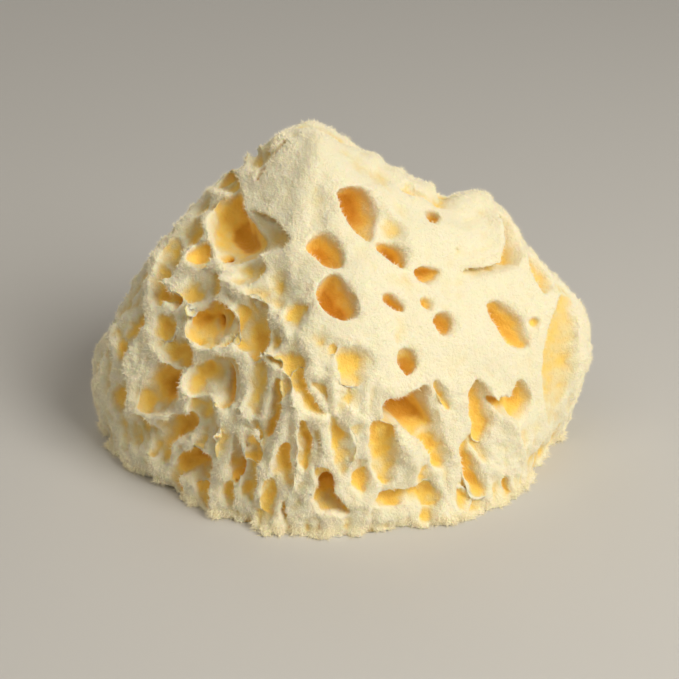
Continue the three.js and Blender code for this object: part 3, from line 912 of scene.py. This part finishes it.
def hole_cutter():
    """Every hole, cup, groove and pore of the sponge, as shapes to take away."""
    bm = bmesh.new()
    ball = ball_mesh(WIDE_BALL)
    points = points_of(ball)
    for hole in RIGHT_HOLES + LEFT_HOLES:
        add_shape(bm, ball, dish(points, hole, 0, hole.deep, hole.flare))
        if hole.fade:
            add_shape(bm, ball, dish(points, hole, hole.fade, FADE_DEPTH, FADE_FLARE))
    for pore in (*hidden_pores(), *strewn_pores()):
        if pore:
            add_shape(bm, ball, rough_ellipsoid(points, pore))
    small_ball = ball_mesh(SMALL_BALL)
    small_points = points_of(small_ball)
    for groove in GROOVES:
        for moved in groove_stretches(small_points, groove):
            add_shape(bm, small_ball, moved)
    return object_from("cutter", bm)


def line_distance(pixels, line):
    """How far pixels are from a line of straight stretches, in pixels."""
    nearest = np.full(len(pixels), np.inf)
    for start, end in zip(line, line[1:]):
        start = np.array(start, float)
        stretch = np.array(end, float) - start
        share = np.clip((pixels - start) @ stretch / (stretch @ stretch), 0, 1)
        gap = pixels - start - share[:, None] * stretch
        nearest = np.minimum(nearest, np.linalg.norm(gap, axis=1))
    return nearest


def drawn_rise(points, normals):
    """How far the crests, rises and hollows of the picture lift each point."""
    pixels = pixels_of(points)
    rise = np.zeros(len(points))
    for spot in RISES:
        offset = (pixels - spot.at) / PIXELS_PER_METRE
        angle = math.radians(spot.turn)
        across = offset[:, 0] * math.cos(angle) - offset[:, 1] * math.sin(angle)
        along = offset[:, 0] * math.sin(angle) + offset[:, 1] * math.cos(angle)
        share = (across / (spot.wide / 2 * MM)) ** 2 + (along / (spot.high / 2 * MM)) ** 2
        rise += spot.rise * MM * np.exp(-share)
    for crest in CRESTS:
        distance = line_distance(pixels, crest.line) / PIXELS_PER_METRE
        rise += crest.rise * MM * np.exp(-((distance / (crest.half_width * MM)) ** 2))
    facing = -np.sum(normals * unit(points - EYE), axis=1)
    return rise * np.clip((facing - RISE_FROM) / (RISE_FULL - RISE_FROM), 0, 1)


def scatter(cells, seed):
    """A repeatable random number between 0 and 1 for each row of three whole numbers."""
    first, last = HASH_SHIFTS
    mixed = (cells @ HASH_STEPS + seed * HASH_SEED) & HASH_MASK
    mixed = ((mixed ^ (mixed >> first)) * HASH_TURN) & HASH_MASK
    return (mixed ^ (mixed >> last)) / HASH_MASK


def smooth_noise(points, size, seed=0):
    """Smooth noise between -1 and 1, with lumps of about one size."""
    places = points / size
    cells = np.floor(places).astype(np.int64)
    share = places - cells
    share = share * share * (3 - 2 * share)
    total = np.zeros(len(points))
    for corner in itertools.product((0, 1), repeat=3):
        weight = np.prod(np.where(corner, share, 1 - share), axis=1)
        total += weight * scatter(cells + corner, seed)
    return 2 * total - 1


def lumpy(points, lumps, seed):
    """Noise of several sizes, one over the other."""
    return sum(each.share * smooth_noise(points, each.size, seed + i) for i, each in enumerate(lumps))


def noise_vectors(points, size, seed):
    return np.stack([smooth_noise(points, size, seed + axis) for axis in range(3)], axis=1)


def cell_floors(points, size, seed):
    """Near 1 inside the cells of a random honeycomb, falling to 0 at the rims between them."""
    places = points / size
    cells = np.floor(places).astype(np.int64)
    first = np.full(len(points), np.inf)
    second = first
    for step in itertools.product((-1, 0, 1), repeat=3):
        cell = cells + step
        centre = cell + np.stack([scatter(cell, seed + axis) for axis in range(3)], axis=1)
        gap = np.linalg.norm(places - centre, axis=1)
        second = np.minimum(second, np.maximum(first, gap))
        first = np.minimum(first, gap)
    share = np.clip((second - first) / CELL_RIM, 0, 1)
    return share * share * (3 - 2 * share)


def honeycomb_share(points):
    """How strong the small cells are: full everywhere but in the pores and on the calm faces."""
    pixels = pixels_of(points)
    calm = np.zeros(len(points))
    for middle, reach in CALM_FACES:
        away = np.linalg.norm((pixels - middle) / reach, axis=1)
        calm = np.maximum(calm, np.exp(-(away**CALM_EDGE)))
    near = np.clip((HEART - points) @ FORWARD / HIDDEN_FADE, 0, 1)
    shallow = np.clip(SHALLOW_START - depth_of(points) / DEEP_FADE, 0, 1)
    return (1 - CALM_SHARE * near * calm) * shallow


def uncut_mound(shape):
    """The mound before it is carved, with its drawn crests, closed at the floor."""
    bm = bmesh.new()
    bmesh.ops.create_icosphere(bm, subdivisions=MOUND_ROUNDS, radius=1)
    mound = object_from(NODE + "_body", bm)
    towards = unit(points_of(mound.data))
    points = HEART + towards * mound_radius(towards)[:, None]
    set_points(mound.data, points)
    rise = drawn_rise(points, normals_of(mound.data))
    rise += lumpy(points, BROAD_LUMPS, SEEDS["broad"]) * shape.undulation
    set_points(mound.data, points + towards * rise[:, None])
    bm = bmesh.new()
    bm.from_mesh(mound.data)
    bmesh.ops.bisect_plane(
        bm, geom=bm.verts[:] + bm.edges[:] + bm.faces[:], plane_co=(0, 0, 0), plane_no=(0, 0, 1),
        clear_inner=True,
    )
    rim = [edge for edge in bm.edges if edge.is_boundary]
    bmesh.ops.contextual_create(bm, geom=rim)
    bmesh.ops.triangulate(bm, faces=[face for face in bm.faces if len(face.verts) > 4])
    bmesh.ops.recalc_face_normals(bm, faces=bm.faces)
    bm.to_mesh(mound.data)
    bm.free()
    return mound


def smoothed(values, edges, counts, rounds):
    """Values averaged with those of their neighbours, round after round."""
    for _ in range(rounds):
        total = np.zeros_like(values)
        np.add.at(total, edges[:, 0], values[edges[:, 1]])
        np.add.at(total, edges[:, 1], values[edges[:, 0]])
        values = 0.5 * values + 0.5 * total / counts
    return values


def edges_of(mesh):
    flat = np.empty(len(mesh.edges) * 2, np.int32)
    mesh.edges.foreach_get("vertices", flat)
    edges = flat.reshape(-1, 2)
    counts = np.bincount(edges.ravel(), minlength=len(mesh.vertices)).astype(float)
    return edges, np.maximum(counts, 1)[:, None]


def soften(piece):
    """Rounds off the cut edges, most where the honeycomb is strong."""
    mesh = piece.data
    edges, counts = edges_of(mesh)
    crisp = smoothed(points_of(mesh), edges, counts, CRISP_ROUNDS)
    soft = smoothed(crisp, edges, counts, SOFT_ROUNDS)
    share = honeycomb_share(crisp)[:, None]
    set_points(mesh, crisp + (soft - crisp) * share)


def roughen(piece, shape):
    """Makes the carved outlines wander, and covers the surface with small cells and lumps."""
    mesh = piece.data
    points = points_of(mesh)
    foot = np.clip(points[:, 2] / FOOT, 0, 1)[:, None]
    share = honeycomb_share(points)[:, None]
    points = points + noise_vectors(points, LONG_WANDER, SEEDS["long"]) * shape.wander * foot
    strength = (CALM_WANDER + CELL_WANDER * share) * foot
    points = points + noise_vectors(points, SHORT_WANDER, SEEDS["short"]) * shape.wander * strength
    set_points(mesh, points)
    bent = points + noise_vectors(points, CELL_BEND.size, SEEDS["bend"]) * CELL_BEND.share
    floors = cell_floors(bent * (1, 1, shape.cell_stretch), shape.cell, SEEDS["cells"])
    uneven = CELL_MEAN + CELL_CHANGE.share * smooth_noise(points, CELL_CHANGE.size, SEEDS["change"])
    sunk = (floors * uneven)[:, None] * share * foot * shape.cell_depth
    set_points(mesh, points - normals_of(mesh) * sunk)
    points = points_of(mesh)
    grain = lumpy(points, GRAIN_LUMPS, SEEDS["grain"])[:, None] * shape.grain
    points = points + normals_of(mesh) * grain * (0.5 + 0.5 * share) * foot
    hem = np.clip(1 - points[:, 2] / HEM, 0, 1)[:, None]
    streaks = lumpy(points * (1, 1, HEM_STRETCH), HEM_LUMPS, SEEDS["hem"])[:, None]
    outward = unit((points - HEART) * (1, 1, 0) + (0, TINY, 0))
    set_points(mesh, points + outward * streaks * hem * shape.ragged)


def store(mesh, name, values):
    attribute = mesh.attributes.new(name, "FLOAT", "POINT")
    attribute.data.foreach_set("value", values.astype(np.float32))


def measure(piece):
    """Stores how deep each point lies and how far it stands out from what is around it."""
    mesh = piece.data
    points = points_of(mesh)
    edges, counts = edges_of(mesh)
    depth = np.clip(depth_of(points) / DEPTH_RANGE, 0, 1)
    even = smoothed(points, edges, counts, EVEN_ROUNDS)
    out = np.sum((points - even) * normals_of(mesh), axis=1)
    store(mesh, "depth", depth)
    store(mesh, "crest", np.clip(0.5 + out / CREST_RANGE, 0, 1))


class NodeTree:
    """A node tree with short ways to add to it."""

    def __init__(self, tree):
        self.tree = tree
        tree.nodes.clear()

    def add(self, kind, settings=None, sockets=None):
        """A node of one type, its settings first, then the values or links of its sockets."""
        node = self.tree.nodes.new(kind)
        for key, value in (settings or {}).items():
            if key == "stops":
                self.set_stops(node.color_ramp, value)
            else:
                setattr(node, key, value)
        for key, value in (sockets or {}).items():
            self.feed(node.inputs[key], value)
        return node

    def feed(self, socket, value):
        if isinstance(value, Value):
            value = value.socket
        if isinstance(value, bpy.types.NodeSocket):
            self.tree.links.new(value, socket)
        else:
            socket.default_value = value

    def set_stops(self, ramp, stops):
        while len(ramp.elements) < len(stops):
            ramp.elements.new(0.5)
        for element, (place, colour) in zip(ramp.elements, stops):
            element.position = place
            element.color = colour

    def value(self, socket):
        return Value(self, socket)


class Value:
    """A number at a node's socket, which Python's own operators work on."""

    def __init__(self, nodes, socket):
        self.nodes = nodes
        self.socket = socket

    def maths(self, operation, first, second, clamp=False):
        settings = {"operation": operation, "use_clamp": clamp}
        node = self.nodes.add("ShaderNodeMath", settings, {0: first, 1: second})
        return Value(self.nodes, node.outputs[0])

    def __add__(self, other):
        return self.maths("ADD", self, other)

    def __radd__(self, other):
        return self.maths("ADD", other, self)

    def __sub__(self, other):
        return self.maths("SUBTRACT", self, other)

    def __rsub__(self, other):
        return self.maths("SUBTRACT", other, self)

    def __mul__(self, other):
        return self.maths("MULTIPLY", self, other)

    def __rmul__(self, other):
        return self.maths("MULTIPLY", other, self)

    def clamped(self):
        return self.maths("ADD", self, 0.0, clamp=True)


def attribute(nodes, name):
    return nodes.value(nodes.add("ShaderNodeAttribute", {"attribute_name": name}).outputs["Fac"])


def noise_value(nodes, where, scale, detail=3.0, roughness=0.55):
    sockets = {"Vector": where, "Scale": scale, "Detail": detail, "Roughness": roughness}
    return nodes.value(nodes.add("ShaderNodeTexNoise", None, sockets).outputs[0])


def mixed(nodes, share, first, second):
    """Two colours mixed by a share of the second."""
    node = nodes.add("ShaderNodeMix", {"data_type": "RGBA"}, {"Factor": share, 6: first, 7: second})
    return node.outputs[2]


def sponge_material(name, colours):
    """Dried sponge: crests painted paler as highlight, pores painted darker as shade and amber for the
    light through their walls, painted light given off in them, and a fleece too fine to model.
    """
    material = bpy.data.materials.new(name)
    material.use_nodes = True
    nodes = NodeTree(material.node_tree)
    where = nodes.add("ShaderNodeTexCoord").outputs["Object"]
    depth = attribute(nodes, "depth")
    crest = attribute(nodes, "crest")
    mottle = noise_value(nodes, where, MOTTLE_SCALE)
    fleece = noise_value(nodes, where, FLEECE_SCALE, detail=4.0)
    speckle = (mottle - 0.5) * MOTTLE_SHARE + (fleece - 0.5) * FLEECE_SHARE
    # Painted shade and highlight: the colour darkens with depth and in hollows and pales on crests, with
    # random mottle over it.
    painted_shade_and_tone = (depth + speckle - (crest - 0.5) * CREST_HIGHLIGHT_AND_SHADE).clamped()
    ramp = nodes.add(
        "ShaderNodeValToRGB",
        {"stops": (
            (0.0, tuple(colours.crest)),
            (FLESH_AT, tuple(colours.flesh)),
            (TAN_AT, tuple(colours.tan)),
            (AMBER_AT, tuple(colours.amber)),
            (1.0, tuple(colours.pore_bottom_shade)),
        )},
        {"Fac": painted_shade_and_tone},
    )
    # Painted light: deep on the ramp, the pores give off an amber emission that stands in for light through
    # their walls.
    painted_glow_share = ((painted_shade_and_tone - GLOW_FROM) * GLOW_RISE).clamped() * ((GLOW_END - painted_shade_and_tone) * GLOW_FALL).clamped()
    painted_glow = mixed(nodes, painted_glow_share, (0, 0, 0, 1), tuple(colours.painted_glow))
    sockets = {
        "Base Color": ramp.outputs["Color"],
        "Emission Color": painted_glow,
        "Emission Strength": 1.0,
        "Roughness": SPONGE_ROUGHNESS,
        "Subsurface Weight": SOFT_LIGHT,
        "Subsurface Radius": SOFT_LIGHT_COLOUR,
        "Subsurface Scale": SOFT_LIGHT_REACH,
        "Specular IOR Level": SHINE,
        "Sheen Weight": SHEEN,
    }
    height = fleece + noise_value(nodes, where, LINT_SCALE, detail=2.0) * LINT_SHARE
    bump = {"Strength": BUMP_STRENGTH, "Distance": BUMP_DEPTH, "Height": height}
    sockets["Normal"] = nodes.add("ShaderNodeBump", None, bump).outputs["Normal"]
    shader = nodes.add("ShaderNodeBsdfPrincipled", None, sockets)
    nodes.add("ShaderNodeOutputMaterial", None, {"Surface": shader.outputs["BSDF"]})
    return material


def plain_material(name, colour, roughness, painted_glow_strength=0.0):
    material = bpy.data.materials.new(name)
    material.use_nodes = True
    nodes = NodeTree(material.node_tree)
    sockets = {
        "Base Color": colour,
        "Roughness": roughness,
        # Painted light: the surface gives off its own colour at this strength; the floor gives off none.
        "Emission Color": colour,
        "Emission Strength": painted_glow_strength,
    }
    shader = nodes.add("ShaderNodeBsdfPrincipled", None, sockets)
    nodes.add("ShaderNodeOutputMaterial", None, {"Surface": shader.outputs["BSDF"]})
    return material


def fibre_piece(name, body, seed, spacing, length, thickness, highest, material):
    """Thin spikes strewn over a body up to a height, longer where it stands out, as one mesh."""
    group = bpy.data.node_groups.new(name, "GeometryNodeTree")
    group.interface.new_socket("Geometry", in_out="INPUT", socket_type="NodeSocketGeometry")
    group.interface.new_socket("Geometry", in_out="OUTPUT", socket_type="NodeSocketGeometry")
    nodes = NodeTree(group)
    source = nodes.add("NodeGroupInput")
    crest = named_value(nodes, "crest")
    depth = named_value(nodes, "depth")
    place_of = nodes.add("GeometryNodeInputPosition")
    parts = nodes.add("ShaderNodeSeparateXYZ", None, {0: place_of.outputs[0]})
    height = nodes.value(parts.outputs[2])
    low_enough = height.maths("LESS_THAN", height, highest)
    standing = low_enough * height.maths("GREATER_THAN", height, FIBRE_FOOT)
    open_share = (FIBRE_OPEN - depth * FIBRE_DEPTH).clamped() * (crest * FIBRE_CREST).clamped()
    density = open_share * standing * (1 / spacing**2)
    points = nodes.add(
        "GeometryNodeDistributePointsOnFaces",
        {"distribute_method": "RANDOM"},
        {"Mesh": source.outputs[0], "Density": density, "Seed": seed},
    )
    spike = nodes.add(
        "GeometryNodeMeshCone",
        {"fill_type": "NONE"},
        {"Vertices": 3, "Radius Top": 0.0, "Radius Bottom": thickness / 2, "Depth": length},
    )
    stray = nodes.add(
        "FunctionNodeRandomValue",
        {"data_type": "FLOAT_VECTOR"},
        {"Min": (-FIBRE_STRAY,) * 3, "Max": (FIBRE_STRAY,) * 3, "Seed": seed + 1},
    )
    lean = nodes.add(
        "ShaderNodeVectorMath", {"operation": "ADD"}, {0: points.outputs["Normal"], 1: stray.outputs[0]}
    )
    turn = nodes.add("FunctionNodeAlignRotationToVector", {"axis": "Z"}, {"Vector": lean.outputs[0]})
    limits = {2: FIBRE_LEAST, 3: 1.0, "Seed": seed + 2}
    size = nodes.add("FunctionNodeRandomValue", {"data_type": "FLOAT"}, limits)
    spikes = nodes.add(
        "GeometryNodeInstanceOnPoints",
        None,
        {
            "Points": points.outputs["Points"],
            "Instance": spike.outputs["Mesh"],
            "Rotation": turn.outputs["Rotation"],
            "Scale": nodes.value(size.outputs[1]) * (crest + FIBRE_BASE),
        },
    )
    real = nodes.add("GeometryNodeRealizeInstances", None, {"Geometry": spikes.outputs[0]})
    nodes.add("NodeGroupOutput", None, {0: real.outputs[0]})
    piece = new_object(name, body.data.copy())
    strew = piece.modifiers.new("Fibres", "NODES")
    strew.node_group = group
    settle(piece)
    keep_above(piece.data, 0)
    piece.data.materials.clear()
    piece.data.materials.append(material)
    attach(piece, BODY)


def named_value(nodes, name):
    """A number that the mesh carries at each point."""
    node = nodes.add("GeometryNodeInputNamedAttribute", {"data_type": "FLOAT"}, {"Name": name})
    return nodes.value(node.outputs[0])


class SPONGE_OT_body(bpy.types.Operator):
    """Builds the carved body of the sponge"""

    bl_idname = "sponge.body"
    bl_label = "Sponge body"

    def execute(self, context):
        shape = context.scene.sponge_shape
        voxel = shape.voxel * 1
        body = uncut_mound(shape)
        rebuild(body, voxel)
        carve(body, hole_cutter(), voxel)
        rebuild(body, voxel)
        soften(body)
        roughen(body, shape)
        measure(body)
        triangles = sum(len(face.vertices) - 2 for face in body.data.polygons)
        if triangles > shape.triangles:
            thin = body.modifiers.new("Thin", "DECIMATE")
            thin.ratio = shape.triangles / triangles
            settle(body)
        keep_above(body.data, 0)
        body.data.shade_smooth()
        body.data.materials.clear()
        body.data.materials.append(sponge_material("sponge", context.scene.sponge_colours))
        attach(body, BODY)
        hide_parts(NODE)
        return {"FINISHED"}


class SPONGE_OT_fibres(bpy.types.Operator):
    """Covers the body with fine fibres, and its hem with tufts"""

    bl_idname = "sponge.fibres"
    bl_label = "Fibres"

    def execute(self, context):
        sizes = context.scene.sponge_fibres
        body = bpy.data.objects[NODE + "_body"]
        colour = tuple(context.scene.sponge_colours.fibre)
        # The fibres give off a weak painted light.
        material = plain_material("fibre", colour, FIBRE_ROUGHNESS, FIBRE_PAINTED_GLOW)
        for count in range(1, FUZZ_PIECES + 1):
            seed = SEEDS["fuzz"] + SEED_STEP * count
            fibre_piece(
                f"fuzz_{count}", body, seed, sizes.spacing, sizes.length, sizes.thickness, ALL_HEIGHTS,
                material,
            )
        fibre_piece(
            "hem_tufts", body, SEEDS["tufts"], sizes.spacing / TUFT_CROWDING, sizes.tuft_length,
            sizes.thickness * TUFT_WIDTH, sizes.tuft_height, material,
        )
        return {"FINISHED"}


class SPONGE_OT_stage(bpy.types.Operator):
    """Adds the floor, the lights and the camera"""

    bl_idname = "sponge.stage"
    bl_label = "Stage"

    def execute(self, context):
        look = context.scene.sponge_stage
        bm = bmesh.new()
        bmesh.ops.create_grid(bm, x_segments=1, y_segments=1, size=FLOOR_SIZE)
        floor = object_from("floor", bm)
        floor.data.materials.append(plain_material("floor", tuple(look.floor), FLOOR_ROUGHNESS))
        powers = (look.key_power, look.fill_power, look.back_power)
        for lamp, power in zip(LAMPS, powers):
            add_light(lamp, power)
        world = bpy.data.worlds.new("studio")
        world.use_nodes = True
        background = world.node_tree.nodes["Background"]
        background.inputs["Color"].default_value = WORLD_COLOUR
        background.inputs["Strength"].default_value = WORLD_STRENGTH
        context.scene.world = world
        context.scene.view_settings.view_transform = "Standard"
        camera = bpy.data.cameras.new("camera")
        camera.lens = LENS
        camera.sensor_width = FILM
        camera.clip_start = NEAR_CLIP
        eye = bpy.data.objects.new("camera", camera)
        eye.location = EYE
        eye.rotation_euler = (math.pi / 2 - CAMERA_LIFT, 0, 0)
        context.scene.collection.objects.link(eye)
        context.scene.camera = eye
        return {"FINISHED"}


def add_light(lamp, power):
    """A square soft light that looks at the sponge from one side."""
    light = bpy.data.lights.new(lamp.name, "AREA")
    light.energy = power
    light.size = lamp.size
    light.color = lamp.colour
    holder = bpy.data.objects.new(lamp.name, light)
    towards = Vector(direction(lamp.azimuth, lamp.elevation))
    holder.location = Vector(HEART) + towards * lamp.distance
    holder.rotation_euler = towards.to_track_quat("Z", "Y").to_euler()
    bpy.context.scene.collection.objects.link(holder)


class SPONGE_PT_panel(bpy.types.Panel):
    """Lists the steps that build the sponge"""

    bl_idname = "SPONGE_PT_panel"
    bl_label = "Sea Sponge"
    bl_space_type = "VIEW_3D"
    bl_region_type = "UI"
    bl_category = "Sponge"

    def draw(self, context):
        for step in STEPS:
            self.layout.operator(step.bl_idname)


STEPS = (SPONGE_OT_stage, SPONGE_OT_body, SPONGE_OT_fibres)
GROUPS = (
    ("sponge_shape", SpongeShape),
    ("sponge_fibres", SpongeFibres),
    ("sponge_colours", SpongeColours),
    ("sponge_stage", SpongeStage),
)


def register():
    for name, group in GROUPS:
        bpy.utils.register_class(group)
        setattr(bpy.types.Scene, name, PointerProperty(type=group))
    for step in (*STEPS, SPONGE_PT_panel):
        bpy.utils.register_class(step)


def unregister():
    for step in (SPONGE_PT_panel, *reversed(STEPS)):
        bpy.utils.unregister_class(step)
    for name, group in reversed(GROUPS):
        delattr(bpy.types.Scene, name)
        bpy.utils.unregister_class(group)


def main():
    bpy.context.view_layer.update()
    register()
    bpy.ops.sponge.stage()
    bpy.ops.sponge.body()
    bpy.ops.sponge.fibres()
    bpy.context.view_layer.update()


if __name__ == "__main__":
    main()
